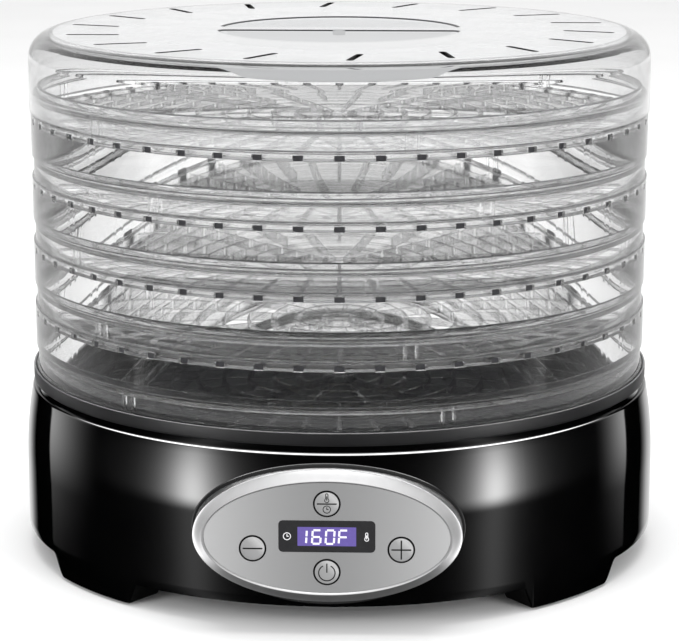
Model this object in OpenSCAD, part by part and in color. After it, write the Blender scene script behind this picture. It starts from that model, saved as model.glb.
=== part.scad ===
// Round stacking food dehydrator: a drum base with a fan heater, five trays and a lid.
// Millimetres. The feet stand on z = 0, the axis is Z and the control panel faces -Y.

/* [Base drum] */
// Radius of the drum at its widest
drum_r = 160.8; // [158:0.1:164]
// Radius of the drum at the crease
drum_top_r = 157.2; // [156.8:0.1:158]
// Height of the drum's lower edge above the ground, between the feet
drum_z0 = 11.5; // [9:0.5:13]
// Height of the crease between the drum and the groove under its rim
crease_z = 84.2; // [83:0.1:85]
// Thickness of the drum wall
drum_wall = 2.2; // [1.8:0.1:2.6]

/* [Trays] */
// Outer radius of a tray's ring and skirt
tray_r = 155; // [154:0.1:155]
// Rise from one tray to the next
tray_pitch = 32.2; // [30:0.1:34]
// Height of the lowest tray's ring
tray_z0 = 89; // [89:0.1:90]
// Depth of the skirt below the ring
skirt_h = 16.8; // [15:0.1:17]
// Number of floor bars that run right across a tray
floor_bars = 13; // [9:1:16]

/* [Lid] */
// Outer radius of the lid
lid_r = 155.6; // [155.6:0.1:156]
// Height of the lid's top face
lid_top_z = 261.4; // [255:0.1:270]
// Radius of the rounded top edge
lid_round = 12.5; // [8:0.5:16]
// Number of vent slots
vent_count = 18; // [12:1:24]
// Width of the grip bar between the two finger pockets
grip_w = 13.5; // [11:0.5:18]

/* [Control panel] */
// Half width of the oval bezel
bezel_a = 62; // [58:0.5:64]
// Half height of the oval bezel
bezel_b = 31.7; // [30:0.1:32]
// Height of the panel's centre
panel_z = 46.5; // [45:0.5:48]
// Radius of a button cap
button_r = 5.9; // [5:0.1:6]
// How far a button travels
button_travel = 0.7; // [0.4:0.1:0.7]

/* [Fan and heater] */
// Radius over the fan blades
fan_r = 50; // [40:1:52]
// Number of fan blades
fan_blades = 7; // [5:1:9]
// Radius of the motor can
motor_r = 18; // [15:0.5:20]

/* [Hidden] */

$fn = 96;
eps = 0.05;
seat_gap = 0.1;

drum_side_z = 48;
groove_r = 156.1;
groove_top_z = crease_z + 3.2;
rim_top_z = crease_z + 9.4;
rim_r = 156.6;
well_r = 155.4;
ledge_z = 70.2;
ledge_r = 150.5;
pad_h = 1.2;
foot_r = 140;
// Gaps between the feet: direction of the middle, half angle at the bottom and at the top
foot_gap_angles = [[-90, 36.9, 35], [90, 36.9, 35], [0, 35.1, 30.5], [180, 35.1, 30.5]];
flange_z = drum_z0 + 2.2;
cover_ledge_r = 133;
boss_count = 6;
boss_r0 = 136.5;

face_a = bezel_a - 5.6;
face_b = bezel_b - 5.5;
cavity_a = face_a - 2.4;
cavity_b = face_b - 2.2;
crest_y = -166.4;
bevel_y = -162.6;
face_y = -165.6;
face_t = 1.6;
board_y = -151;
board_t = 1.6;
collar_h = 1.1;
window_size = [44.1, 14.9];
window_corner = 2;
window_z = panel_z + 0.8;
button_places = [[0, 16.3], [0, -16.2], [-34, -5.2], [34, -5.2]];
post_places = [[-36, 13], [36, 13], [-22, -18], [22, -18]];
board_size = [79, 40];
bezel_screw_x = 58;

deck_z = 68.2;
deck_t = 2;
deck_hole_r = 56;
deck_slots = 36;
deck_slot = [17, 2.4];
deck_slot_r = 126;
bracket_post_r = 38;
intake_rows = [[24, 46, 24], [12, 12, 18]];
intake_w = 3;
shaft_r = 1.5;
bracket_z = 20;
bracket_t = 1.4;
can_z = bracket_z + 1.5;
can_h = 20;
fan_z = 45;
heater_z = 61.5;
coil_radii = [28, 44];
shield_r = 54;
gland_z = 32;
gland_depth = 7;
gland_bore_r = 3.4;
power_board_at = [-86, 40, 20];
power_board_size = [50, 70, 1.6];

wire_r = 1.3;
wire_sides = 8;
wire_steps = 5;
// Leads, each by a few points along its route
wires = [
    // power board to the control board
    [[-81, 6.7, 25], [-82, -8, 25.5], [-76, -56, 29], [-60, -104, 34], [-38, -130, 40], [-30, -140, 42],
        [-30, -149.2, 42]],
    // power board to the motor
    [[-62.5, 51, 27], [-53, 62, 19.5], [-44, 65, 17], [-30, 46, 17], [-24, 26, 22], [-17, 16.5, 28]],
    // power board to the heater and the thermostat
    [[-62.5, 57, 29], [-53, 66, 44], [-38, 74, 58], [-20, 76, 63.5], [-10.5, 65, 64]]];

tray_ring_h = 5;
tray_wall_r = 154;
lip_r = 151.3;
lip_top = 18.6;
floor_r = 152.2;
floor_rim_w = 3.8;
floor_z = 0.6;
floor_t = 2.4;
floor_ring_radii = [22, 46, 72, 98, 124];
shoulder_h = tray_pitch - skirt_h - seat_gap;

dish_r = 60.5;
dish_floor_r = 47.5;
dish_depth = 16.4;
vent_r = 124.5;
vent_size = [25, 2.2];
vent_skew = -15;
vent_turn = -4.8;
lid_wall = 1.3;
lid_t = 2;
lid_bottom_z = tray_z0 + 4 * tray_pitch + tray_ring_h + seat_gap;

// ---------- helpers ----------

// Points of an arc about [cx, cy]
function arc(cx, cy, r, a0, a1, n) =
    [for (i = [0:n]) [cx + r * cos(a0 + (a1 - a0) * i / n), cy + r * sin(a0 + (a1 - a0) * i / n)]];

// Points of an ellipse with half axes a and b
function oval(a, b, n = 72) = [for (i = [0:n - 1]) [a * cos(360 * i / n), b * sin(360 * i / n)]];

// A prism whose outline lies in the panel's plane, between two values of y
module panel_prism(y_front, y_back)
    translate([0, y_back, panel_z])
        rotate([90, 0, 0])
            linear_extrude(y_back - y_front)
                children();

module panel_oval(a, b, y_front, y_back)
    panel_prism(y_front, y_back)
        polygon(oval(a, b));

// A cylinder that runs along Y at a place on the panel
module panel_pin(at, r, y_front, y_back)
    translate([at[0], y_back, panel_z + at[1]])
        rotate([90, 0, 0])
            cylinder(r = r, h = y_back - y_front, $fn = 48);

module at_bosses()
    for (i = [0:boss_count - 1])
        rotate(360 * i / boss_count)
            translate([boss_r0, 0, 0])
                children();

module rounded_rect(w, h, r) {
    square([w, h - 2 * r], center = true);
    square([w - 2 * r, h], center = true);
    for (sx = [-1, 1], sy = [-1, 1])
        translate([sx * (w / 2 - r), sy * (h / 2 - r)])
            circle(r = r, $fn = 32);
}

module annulus(r_in, r_out)
    difference() {
        circle(r = r_out);
        circle(r = r_in);
    }

module tube(r_in, r_out, h)
    difference() {
        cylinder(r = r_out, h = h);
        translate([0, 0, -1])
            cylinder(r = r_in, h = h + 2);
    }

// Pan-head screw pointing up, with its head's underside at z = 0
module screw_up(shank_r, length, head_r, head_h) {
    cylinder(r = shank_r, h = length, $fn = 32);
    translate([0, 0, -head_h])
        cylinder(r = head_r, h = head_h, $fn = 32);
}

// ---------- base ----------

// Outer outline of the drum from the ground to the crease, grown by g
function drum_side(g) = let (rise = crease_z - 1.2 - drum_side_z, run = drum_r - drum_top_r,
        big = (rise * rise + run * run) / (2 * run), sweep = asin(rise / big))
    concat([[drum_r + g, pad_h]], arc(drum_r - big, drum_side_z, big + g, 0, sweep, 8));

module drum_solid(g)
    rotate_extrude($fn = 192)
        polygon(concat([[0, pad_h]], drum_side(g), [[0, crease_z - 1.2]]));

// The four gaps between the feet, each a sector whose half angle shrinks upwards, widened by grow degrees
module foot_gaps(grow = 0)
    for (gap = foot_gap_angles)
        rotate(gap[0])
            hull()
                for (level = [[-1, gap[1] + grow], [drum_z0, gap[2] + grow]])
                    translate([0, 0, level[0]])
                        linear_extrude(0.02)
                            polygon([[0, 0], [200, -200 * tan(level[1])], [200, 200 * tan(level[1])]]);

module base_housing()
    color([0.03, 0.03, 0.035])
        difference() {
            union() {
                rotate_extrude($fn = 192)
                    polygon(concat(drum_side(0),
                        [[drum_top_r - 0.2, crease_z - 0.5], [drum_top_r - 0.8, crease_z],
                        [groove_r, crease_z], [groove_r, groove_top_z - 0.3], [rim_r, groove_top_z],
                        [rim_r, rim_top_z - 0.5], [rim_r - 0.3, rim_top_z], [well_r, rim_top_z],
                        [well_r, ledge_z], [ledge_r, ledge_z], [ledge_r, ledge_z - 2.2],
                        [drum_r - drum_wall - 2.4, ledge_z - 4.2], [drum_r - drum_wall, drum_side_z],
                        [drum_r - drum_wall, flange_z + 2.2], [cover_ledge_r, flange_z + 2.2],
                        [cover_ledge_r, flange_z], [foot_r, flange_z], [foot_r, pad_h]]));
                // low collar around the panel
                difference() {
                    intersection() {
                        panel_oval(bezel_a + 1.4, bezel_b + 1.4, -170, -120);
                        drum_solid(collar_h);
                    }
                    drum_solid(-1.2);
                }
            }
            foot_gaps();
            // panel opening, kept below the deck's ledge
            intersection() {
                panel_oval(cavity_a, cavity_b, -175, -120);
                translate([-100, -180, 17])
                    cube([200, 80, ledge_z - 4.6 - 17]);
            }
            for (s = [-1, 1])
                panel_pin([s * bezel_screw_x, 0], 1.25, -175, -120);
            at_bosses()
                translate([0, 0, flange_z - 1])
                    cylinder(r = 1.8, h = 4, $fn = 32);
            translate([0, 175, gland_z])
                rotate([90, 0, 0])
                    cylinder(r = 6.6, h = 40, $fn = 48);
        }

module inner_deck()
    color([0.04, 0.04, 0.045])
        difference() {
            union() {
                rotate_extrude($fn = 192)
                    polygon([[deck_hole_r, deck_z], [150.2, deck_z], [150.2, ledge_z + 0.1],
                        [155.1, ledge_z + 0.1], [155.1, tray_z0 - skirt_h - seat_gap],
                        [lip_r - 0.3, tray_z0 - skirt_h - seat_gap], [lip_r - 0.3, tray_z0 - 13.6],
                        [lip_r - 2.3, tray_z0 - 13.6], [lip_r - 4.3, deck_z + deck_t],
                        [deck_hole_r, deck_z + deck_t]]);
                at_bosses()
                    translate([0, 0, flange_z + 2.4])
                        cylinder(r = 4.5, h = deck_z - flange_z - 2.4 + 0.5, $fn = 48);
            }
            at_bosses()
                translate([0, 0, flange_z])
                    cylinder(r = 1.55, h = 40, $fn = 32);
            for (i = [0:deck_slots - 1])
                rotate(360 * (i + 0.5) / deck_slots)
                    translate([deck_slot_r, -deck_slot[1] / 2, deck_z - 1])
                        cube([deck_slot[0], deck_slot[1], deck_t + 2]);
        }

module air_grille()
    color([0.05, 0.05, 0.055])
        translate([0, 0, deck_z + deck_t + eps])
            linear_extrude(1.8) {
                for (r = [12, 24, 36, 48])
                    annulus(r - 1.2, r + 1.2);
                annulus(56.5, 60);
                for (i = [0:5])
                    rotate(30 * i)
                        square([116, 2], center = true);
                circle(r = 6);
            }

module bottom_cover()
    color([0.06, 0.06, 0.065])
        difference() {
            union() {
                translate([0, 0, flange_z - 2])
                    cylinder(r = foot_r - 0.3, h = 2 - eps, $fn = 144);
                // posts for the motor bracket and for the power board
                for (i = [0:2])
                    rotate(120 * i + 30)
                        translate([bracket_post_r, 0, flange_z - 1])
                            cylinder(r = 3.5, h = bracket_z - flange_z + 1 - eps, $fn = 32);
                at_power_board_corners()
                    translate([0, 0, flange_z - 1])
                        cylinder(r = 3, h = power_board_at[2] - flange_z + 1 - eps, $fn = 32);
            }
            at_bosses()
                translate([0, 0, flange_z - 4])
                    cylinder(r = 1.7, h = 6, $fn = 32);
            for (i = [0:2])
                rotate(120 * i + 30)
                    translate([bracket_post_r, 0, flange_z])
                        cylinder(r = 1.05, h = 10, $fn = 24);
            at_power_board_corners()
                translate([0, 0, flange_z])
                    cylinder(r = 1.05, h = 10, $fn = 24);
            // air intake slots: each row has its number of slots, inner radius and length
            for (row = intake_rows, i = [0:row[0] - 1])
                rotate(360 * i / row[0])
                    translate([row[1], -intake_w / 2, flange_z - 4])
                        cube([row[2], intake_w, 6]);
        }

module foot_pads()
    color([0.09, 0.09, 0.09])
        difference() {
            tube(foot_r + 3, drum_r - 3, pad_h);
            foot_gaps(1.3);
        }

module cover_screws()
    color([0.6, 0.6, 0.62])
        at_bosses()
            translate([0, 0, flange_z - 2 - eps])
                screw_up(1.5, 22, 3.2, 1.8);

// Ends as far behind the axis as the bezel's crest is in front of it; its bore widens inside the drum
module cord_gland()
    color([0.05, 0.05, 0.05])
        translate([0, drum_r + 0.3, gland_z])
            rotate([-90, 0, 0])
                difference() {
                    union() {
                        cylinder(r = 9, h = 2.4, $fn = 48);
                        cylinder(r = 6.5, h = -crest_y - drum_r - 0.3, $fn = 48);
                        translate([0, 0, -gland_depth])
                            cylinder(r = 6.5, h = gland_depth + 1, $fn = 48);
                        translate([0, 0, -gland_depth])
                            cylinder(r = 8.2, h = 3, $fn = 48);
                    }
                    cylinder(r = gland_bore_r, h = 20, $fn = 48);
                    translate([0, 0, -gland_depth - 1])
                        cylinder(r = gland_bore_r + 1, h = gland_depth + 1, $fn = 48);
                }

// ---------- control panel ----------

module panel_bezel()
    color([0.72, 0.73, 0.74])
        difference() {
            union() {
                panel_oval(bezel_a, bezel_b, bevel_y, -140);
                hull() {
                    panel_oval(bezel_a, bezel_b, bevel_y, bevel_y + 0.2);
                    panel_oval(face_a + 1.2, face_b + 1.2, crest_y, crest_y + 0.2);
                }
            }
            drum_solid(collar_h + 0.05);
            panel_oval(face_a + 0.1, face_b + 0.1, crest_y - 1, face_y + face_t + eps);
            panel_oval(cavity_a, cavity_b, crest_y - 1, -130);
            for (s = [-1, 1])
                panel_pin([s * bezel_screw_x, 0], 1.05, -158.5, -130);
        }

module panel_face()
    color([0.6, 0.61, 0.62])
        difference() {
            union() {
                panel_oval(face_a, face_b, face_y, face_y + face_t);
                for (p = post_places)
                    panel_pin(p, 2.8, face_y + 0.5, board_y - eps);
            }
            for (p = button_places)
                panel_pin(p, button_r + 0.45, face_y - 1, face_y + face_t + 1);
            panel_prism(face_y - 1, face_y + face_t + 1)
                translate([0, window_z - panel_z])
                    rounded_rect(window_size[0] + 0.2, window_size[1] + 0.2, window_corner + 0.1);
            for (p = post_places)
                panel_pin(p, 1.05, board_y - 8, board_y + 1);
        }

module display_window()
    color([0.02, 0.02, 0.02])
        translate([0, face_y + face_t + 0.2, window_z])
            rotate([90, 0, 0])
                linear_extrude(face_t + 0.4)
                    rounded_rect(window_size[0], window_size[1], window_corner);

module display_module()
    color([0.35, 0.3, 0.75])
        translate([-20, face_y + face_t + 0.3, window_z - 6.5])
            cube([40, 5, 13]);

module control_board()
    color([0.05, 0.3, 0.15])
        difference() {
            translate([-board_size[0] / 2, board_y, panel_z - 22])
                cube([board_size[0], board_t, board_size[1]]);
            for (p = post_places)
                panel_pin(p, 1.2, board_y - 1, board_y + 4);
        }

module button_switches()
    color([0.15, 0.15, 0.16])
        for (p = button_places) {
            translate([p[0] - 3, board_y - 3.5 - eps, panel_z + p[1] - 3])
                cube([6, 3.5, 6]);
            panel_pin(p, 1.7, board_y - 4.5, board_y - 3.4);
        }

module board_screws()
    color([0.6, 0.6, 0.62])
        for (p = post_places) {
            panel_pin(p, 1, board_y - 6, board_y + board_t + 1.5);
            panel_pin(p, 2.4, board_y + board_t + eps, board_y + board_t + 1.6);
        }

// The heads bear on the inside of the drum wall
module bezel_screws()
    color([0.6, 0.6, 0.62])
        for (s = [-1, 1]) {
            panel_pin([s * bezel_screw_x, 0], 1, -157.5, -145.5);
            panel_pin([s * bezel_screw_x, 0], 2.4, -146.5, -144.7);
        }

module push_button(at)
    union() {
        panel_pin(at, button_r, face_y - 0.3, face_y + 3);
        panel_pin(at, button_r + 1.3, face_y + face_t + 0.4, face_y + face_t + 1.4);
        panel_pin(at, 2, face_y + 2, board_y - 4.5 - button_travel - 0.1);
    }

module temp_time_button()
    color([0.66, 0.67, 0.68])
        push_button(button_places[0]);

module power_button()
    color([0.66, 0.67, 0.68])
        push_button(button_places[1]);

module minus_button()
    color([0.66, 0.67, 0.68])
        push_button(button_places[2]);

module plus_button()
    color([0.66, 0.67, 0.68])
        push_button(button_places[3]);

// ---------- motor and fan ----------

module motor_can()
    color([0.62, 0.63, 0.65])
        difference() {
            translate([0, 0, can_z])
                cylinder(r = motor_r, h = can_h, $fn = 72);
            translate([0, 0, can_z + 1.2])
                cylinder(r = motor_r - 1.2, h = can_h - 2.4, $fn = 72);
            translate([0, 0, can_z - 1])
                cylinder(r = 4.02, h = can_h + 2, $fn = 48);
        }

module motor_bearings()
    color([0.75, 0.6, 0.35])
        for (z = [can_z - 1, can_z + can_h - 3])
            translate([0, 0, z])
                tube(shaft_r + 0.04, 4, 4);

module motor_bracket()
    color([0.6, 0.61, 0.62])
        difference() {
            union() {
                translate([0, 0, bracket_z])
                    cylinder(r = 22, h = bracket_t, $fn = 72);
                for (i = [0:2])
                    rotate(120 * i + 30)
                        translate([0, -5, bracket_z])
                            cube([bracket_post_r + 5, 10, bracket_t]);
            }
            translate([0, 0, bracket_z - 1])
                cylinder(r = 5, h = 4, $fn = 48);
            for (i = [0:2])
                rotate(120 * i + 30)
                    translate([bracket_post_r, 0, bracket_z - 1])
                        cylinder(r = 1.3, h = 4, $fn = 32);
        }

module bracket_screws()
    color([0.6, 0.6, 0.62])
        for (i = [0:2])
            rotate(120 * i + 30)
                translate([bracket_post_r, 0, bracket_z + bracket_t + eps])
                    rotate([180, 0, 0])
                        screw_up(1, 6.5, 2.4, 1.6);

module motor_rotor()
    color([0.5, 0.4, 0.3])
        translate([0, 0, can_z + 5])
            tube(shaft_r + 0.02, motor_r - 4, can_h - 10);

module motor_shaft()
    color([0.8, 0.8, 0.82])
        translate([0, 0, can_z - 1.2])
            cylinder(r = shaft_r, h = fan_z + 11 - can_z, $fn = 48);

module fan_impeller()
    color([0.85, 0.85, 0.83])
        difference() {
            union() {
                translate([0, 0, fan_z])
                    cylinder(r = 11, h = 10, $fn = 72);
                for (i = [0:fan_blades - 1])
                    rotate(360 * i / fan_blades)
                        translate([9, 0, fan_z + 5])
                            rotate([32, 0, 0])
                                translate([0, -8, -0.7])
                                    cube([fan_r - 10, 16, 1.4]);
            }
            translate([0, 0, fan_z - 1])
                cylinder(r = shaft_r + 0.02, h = 12, $fn = 48);
            // shallow recess in the hub's underside
            translate([0, 0, fan_z - 1])
                cylinder(r = 8, h = 3, $fn = 48);
        }

// ---------- heater ----------

module heat_shield()
    color([0.75, 0.76, 0.78])
        rotate_extrude($fn = 144)
            polygon([[shield_r, 40], [shield_r + 0.8, 40], [shield_r + 0.8, deck_z - 0.9],
                [shield_r + 6, deck_z - 0.9], [shield_r + 6, deck_z - eps], [shield_r, deck_z - eps]]);

module coil_rings(r)
    for (ring = coil_radii)
        translate([0, 0, heater_z])
            rotate_extrude($fn = 96)
                translate([ring, 0])
                    circle(r = r, $fn = 24);

module heating_coils()
    color([0.55, 0.5, 0.45])
        coil_rings(1.8);

module mica_frame()
    color([0.82, 0.78, 0.68])
        difference() {
            union() {
                for (a = [0, 90])
                    rotate(a)
                        translate([-shield_r + 0.1, -0.5, heater_z - 4])
                            cube([2 * shield_r - 0.2, 1, 9]);
            }
            coil_rings(2.1);
            // notch that clears the end of the shaft
            translate([0, 0, heater_z - 5])
                cylinder(r = 6, h = 3, $fn = 32);
        }

module thermostat()
    color([0.85, 0.83, 0.78])
        translate([0, shield_r + 8, deck_z - 6]) {
            cylinder(r = 7, h = 4.5, $fn = 48);
            translate([-9, -2.5, 4.5 - eps])
                cube([18, 5, 0.5]);
        }

module thermal_fuse()
    color([0.8, 0.8, 0.82])
        translate([2.6, 8, heater_z - 1])
            rotate([-90, 0, 0])
                cylinder(r = 1.8, h = 12, $fn = 32);

module temperature_sensor()
    color([0.1, 0.1, 0.1])
        translate([30, -52, deck_z - 6])
            union() {
                cylinder(r = 1.4, h = 5, $fn = 24);
                sphere(r = 1.9, $fn = 32);
            }

// ---------- power board ----------

module at_power_board_corners()
    for (sx = [-1, 1], sy = [-1, 1])
        translate([power_board_at[0] + sx * 20.5, power_board_at[1] + sy * 30.5, 0])
            children();

module power_board()
    color([0.1, 0.35, 0.2])
        difference() {
            translate([power_board_at[0] - power_board_size[0] / 2,
                power_board_at[1] - power_board_size[1] / 2, power_board_at[2]])
                cube(power_board_size);
            at_power_board_corners()
                translate([0, 0, power_board_at[2] - 1])
                    cylinder(r = 1.3, h = 4, $fn = 24);
        }

module power_components()
    color([0.2, 0.2, 0.22])
        translate([power_board_at[0], power_board_at[1], power_board_at[2] + power_board_size[2] + eps]) {
            // relay, transformer, smoothing capacitors and terminal block
            translate([-16, -24, 0])
                cube([16, 19, 15]);
            translate([-15, 2, 0])
                cube([24, 20, 17]);
            translate([13, -18, 0])
                cylinder(r = 6, h = 18, $fn = 48);
            translate([14, -3, 0])
                cylinder(r = 4, h = 12, $fn = 48);
            translate([13, 7, 0])
                cube([9, 16, 10]);
            // connector for the control board's lead
            translate([0, -33, 0])
                cube([10, 5, 6]);
        }

module power_board_screws()
    color([0.6, 0.6, 0.62])
        at_power_board_corners()
            translate([0, 0, power_board_at[2] + power_board_size[2] + eps])
                rotate([180, 0, 0])
                    screw_up(1, 6.5, 2.2, 1.5);

// ---------- wiring ----------

// A point between p1 and p2 on a smooth curve through four points
function spline(p0, p1, p2, p3, t) = 0.5 * (2 * p1 + (p2 - p0) * t
    + (2 * p0 - 5 * p1 + 4 * p2 - p3) * t * t + (3 * p1 - p0 - 3 * p2 + p3) * t * t * t);

// Points along a whole lead
function wire_path(p) = let (last = len(p) - 1)
    concat([for (i = [0:last - 1], k = [0:wire_steps - 1])
        spline(p[max(i - 1, 0)], p[i], p[i + 1], p[min(i + 2, last)], k / wire_steps)], [p[last]]);

function unit(v) = v / norm(v);

// A round lead swept along its path
module wire(p) {
    path = wire_path(p);
    last = len(path) - 1;
    rings = [for (i = [0:last]) let (t = unit(path[min(i + 1, last)] - path[max(i - 1, 0)]),
            side = unit(cross(t, [0.02, 0.05, 1])), up = cross(side, t))
        for (k = [0:wire_sides - 1]) let (a = 360 * k / wire_sides)
            path[i] + wire_r * (cos(a) * side + sin(a) * up)];
    walls = [for (i = [0:last - 1], k = [0:wire_sides - 1])
        [i * wire_sides + k, i * wire_sides + (k + 1) % wire_sides,
            (i + 1) * wire_sides + (k + 1) % wire_sides, (i + 1) * wire_sides + k]];
    near_end = [[for (k = [0:wire_sides - 1]) wire_sides - 1 - k]];
    far_end = [[for (k = [0:wire_sides - 1]) last * wire_sides + k]];
    polyhedron(rings, concat(walls, near_end, far_end));
}

module wiring()
    color([0.8, 0.15, 0.1])
        for (w = wires)
            wire(w);

// ---------- trays ----------

// Skirt, ring, wall and nesting lip of one tray, with the ring's underside at z = 0
module tray_wall_shape()
    rotate_extrude($fn = 192)
        polygon([[tray_r, -skirt_h], [tray_r, tray_ring_h], [tray_wall_r, tray_ring_h],
            [tray_wall_r, shoulder_h], [lip_r, shoulder_h], [lip_r, lip_top], [lip_r - 1.8, lip_top],
            [lip_r - 1.8, shoulder_h - 2], [floor_r, shoulder_h - 3.2],
            [floor_r, floor_z], [tray_r - 2, floor_z], [tray_r - 2, -skirt_h]]);

// The floor grid of one tray. It is moulded in one with the wall, and meets it at floor_r
module tray_floor_shape()
    translate([0, 0, floor_z])
        linear_extrude(floor_t) {
            for (i = [0:floor_bars - 1])
                rotate(180 * i / floor_bars)
                    square([2 * (floor_r - floor_rim_w / 2), 2.4], center = true);
            for (r = floor_ring_radii)
                annulus(r - 1.3, r + 1.3);
            annulus(floor_r - floor_rim_w, floor_r);
            circle(r = 9);
        }

module at_tray(number)
    color([0.9, 0.93, 0.95, 0.35])
        translate([0, 0, tray_z0 + (5 - number) * tray_pitch])
            children();

module tray_5_wall() at_tray(5) tray_wall_shape();

module tray_5_floor() at_tray(5) tray_floor_shape();

module tray_4_wall() at_tray(4) tray_wall_shape();

module tray_4_floor() at_tray(4) tray_floor_shape();

module tray_3_wall() at_tray(3) tray_wall_shape();

module tray_3_floor() at_tray(3) tray_floor_shape();

module tray_2_wall() at_tray(2) tray_wall_shape();

module tray_2_floor() at_tray(2) tray_floor_shape();

module tray_1_wall() at_tray(1) tray_wall_shape();

module tray_1_floor() at_tray(1) tray_floor_shape();

// ---------- lid ----------

// One of the two finger pockets: half of a tapered dish, grown by g
module pocket(side, g)
    intersection() {
        translate([0, 0, lid_top_z - dish_depth - g])
            cylinder(r1 = dish_floor_r + g, r2 = dish_r + g, h = dish_depth + g + (g > 0 ? 0 : eps),
                $fn = 96);
        translate([-100, side > 0 ? grip_w / 2 - g : -100 - grip_w / 2 + g, lid_top_z - 30])
            cube([200, 100, 40]);
    }

module lid()
    color([0.9, 0.93, 0.95, 0.35])
        difference() {
            union() {
                rotate_extrude($fn = 192)
                    polygon(concat([[lid_r - lid_wall, lid_bottom_z], [lid_r, lid_bottom_z]],
                        arc(lid_r - lid_round, lid_top_z - lid_round, lid_round, 0, 90, 8),
                        [[0, lid_top_z], [0, lid_top_z - lid_t]],
                        arc(lid_r - lid_round, lid_top_z - lid_round, lid_round - 1.6, 90, 0, 8)));
                for (side = [-1, 1])
                    pocket(side, 2);
            }
            for (side = [-1, 1])
                pocket(side, 0);
            for (i = [0:vent_count - 1])
                rotate(360 * i / vent_count + vent_turn)
                    translate([vent_r, 0, lid_top_z - lid_t - 1])
                        rotate(vent_skew)
                            translate([-vent_size[0] / 2, -vent_size[1] / 2, 0])
                                cube([vent_size[0], vent_size[1], lid_t + 2]);
        }

base_housing();
inner_deck();
air_grille();
bottom_cover();
foot_pads();
cover_screws();
panel_bezel();
panel_face();
display_window();
display_module();
control_board();
button_switches();
board_screws();
bezel_screws();
temp_time_button();
power_button();
minus_button();
plus_button();
motor_can();
motor_bearings();
motor_bracket();
bracket_screws();
motor_rotor();
motor_shaft();
fan_impeller();
heat_shield();
mica_frame();
heating_coils();
thermostat();
thermal_fuse();
temperature_sensor();
power_board();
power_components();
power_board_screws();
wiring();
cord_gland();
tray_5_wall();
tray_5_floor();
tray_4_wall();
tray_4_floor();
tray_3_wall();
tray_3_floor();
tray_2_wall();
tray_2_floor();
tray_1_wall();
tray_1_floor();
lid();
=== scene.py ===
"""Looks of the round stacking food dehydrator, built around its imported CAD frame."""

import math

import bmesh
import bpy
from mathutils import Matrix, Vector


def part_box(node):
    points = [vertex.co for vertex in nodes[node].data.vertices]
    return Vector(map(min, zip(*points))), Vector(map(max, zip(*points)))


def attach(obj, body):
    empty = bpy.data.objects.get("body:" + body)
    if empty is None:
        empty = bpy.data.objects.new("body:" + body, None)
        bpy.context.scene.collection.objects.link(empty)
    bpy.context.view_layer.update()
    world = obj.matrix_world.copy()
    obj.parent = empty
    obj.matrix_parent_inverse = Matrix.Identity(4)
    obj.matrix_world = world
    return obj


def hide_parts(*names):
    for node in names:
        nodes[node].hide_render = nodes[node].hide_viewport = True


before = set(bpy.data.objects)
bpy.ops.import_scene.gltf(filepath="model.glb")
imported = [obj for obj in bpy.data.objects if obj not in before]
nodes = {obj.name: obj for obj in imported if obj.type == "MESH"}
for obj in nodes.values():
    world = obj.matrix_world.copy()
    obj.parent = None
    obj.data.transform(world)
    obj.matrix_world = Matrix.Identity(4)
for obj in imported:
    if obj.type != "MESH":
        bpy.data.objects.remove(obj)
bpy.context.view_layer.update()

MM = 0.001


# ---- sizes from the frame

def mm_box(node):
    """Lowest and highest corners of a CAD node, in millimetres."""
    low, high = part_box(node)
    return [c / MM for c in low], [c / MM for c in high]


def middle(low, high, axis):
    """Halfway between two corners on one axis."""
    return (low[axis] + high[axis]) / 2


HOUSING_LOW, HOUSING_HIGH = mm_box("base_housing")
LID_LOW, LID_HIGH = mm_box("lid")
BEZEL_LOW, BEZEL_HIGH = mm_box("panel_bezel")
WINDOW_LOW, WINDOW_HIGH = mm_box("display_window")

DRUM_R = HOUSING_HIGH[0]
RIM_TOP = HOUSING_HIGH[2]
CREASE_Z = RIM_TOP - 9.4
GROOVE_TOP = CREASE_Z + 3.2
FOOT_Z = HOUSING_LOW[2]
ARCH_Z = 11.5
SKIRT_H = 16.8
TRAY_R = mm_box("tray_5_wall")[1][0]
LID_R = LID_HIGH[0]
LID_TOP = LID_HIGH[2]
LID_BOTTOM = LID_LOW[2]
PANEL_A = BEZEL_HIGH[0]
PANEL_B = (BEZEL_HIGH[2] - BEZEL_LOW[2]) / 2
PANEL_Z = middle(BEZEL_LOW, BEZEL_HIGH, 2)
CREST_Y = BEZEL_LOW[1]
FACE_Y = CREST_Y + 0.8
BUTTON_R = 5.9
NOTCHES = 52
NOTCH_STEP = 360 / NOTCHES


# ---- shader nodes

def new_material(name):
    """A material with a Principled shader, and its node tree, shader and output."""
    m = bpy.data.materials.new(name)
    m.use_nodes = True
    tree = m.node_tree
    return m, tree, tree.nodes["Principled BSDF"], tree.nodes["Material Output"]


def feed(tree, node, inputs):
    """Sets inputs of a node by name or place. Each value is a socket to link, or a constant."""
    for name, value in inputs.items():
        if isinstance(value, bpy.types.NodeSocket):
            tree.links.new(value, node.inputs[name])
        else:
            node.inputs[name].default_value = value


def add_node(tree, kind, inputs):
    node = tree.nodes.new("ShaderNode" + kind)
    feed(tree, node, inputs)
    return node


def coordinates(tree, kind="Object"):
    return tree.nodes.new("ShaderNodeTexCoord").outputs[kind]


def object_coords(tree, scale=(1, 1, 1)):
    """Object coordinates, stretched by scale."""
    return add_node(tree, "Mapping", {"Vector": coordinates(tree), "Scale": scale}).outputs["Vector"]


def axes(tree, vector):
    """The x, y and z of a vector."""
    node = add_node(tree, "SeparateXYZ", {"Vector": vector})
    return [node.outputs[axis] for axis in "XYZ"]


def noise(tree, vector, scale, detail=3.0, rough=0.5):
    """A noise of 0 to 1."""
    inputs = {"Vector": vector, "Scale": scale, "Detail": detail, "Roughness": rough}
    return add_node(tree, "TexNoise", inputs).outputs["Fac"]


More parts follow.
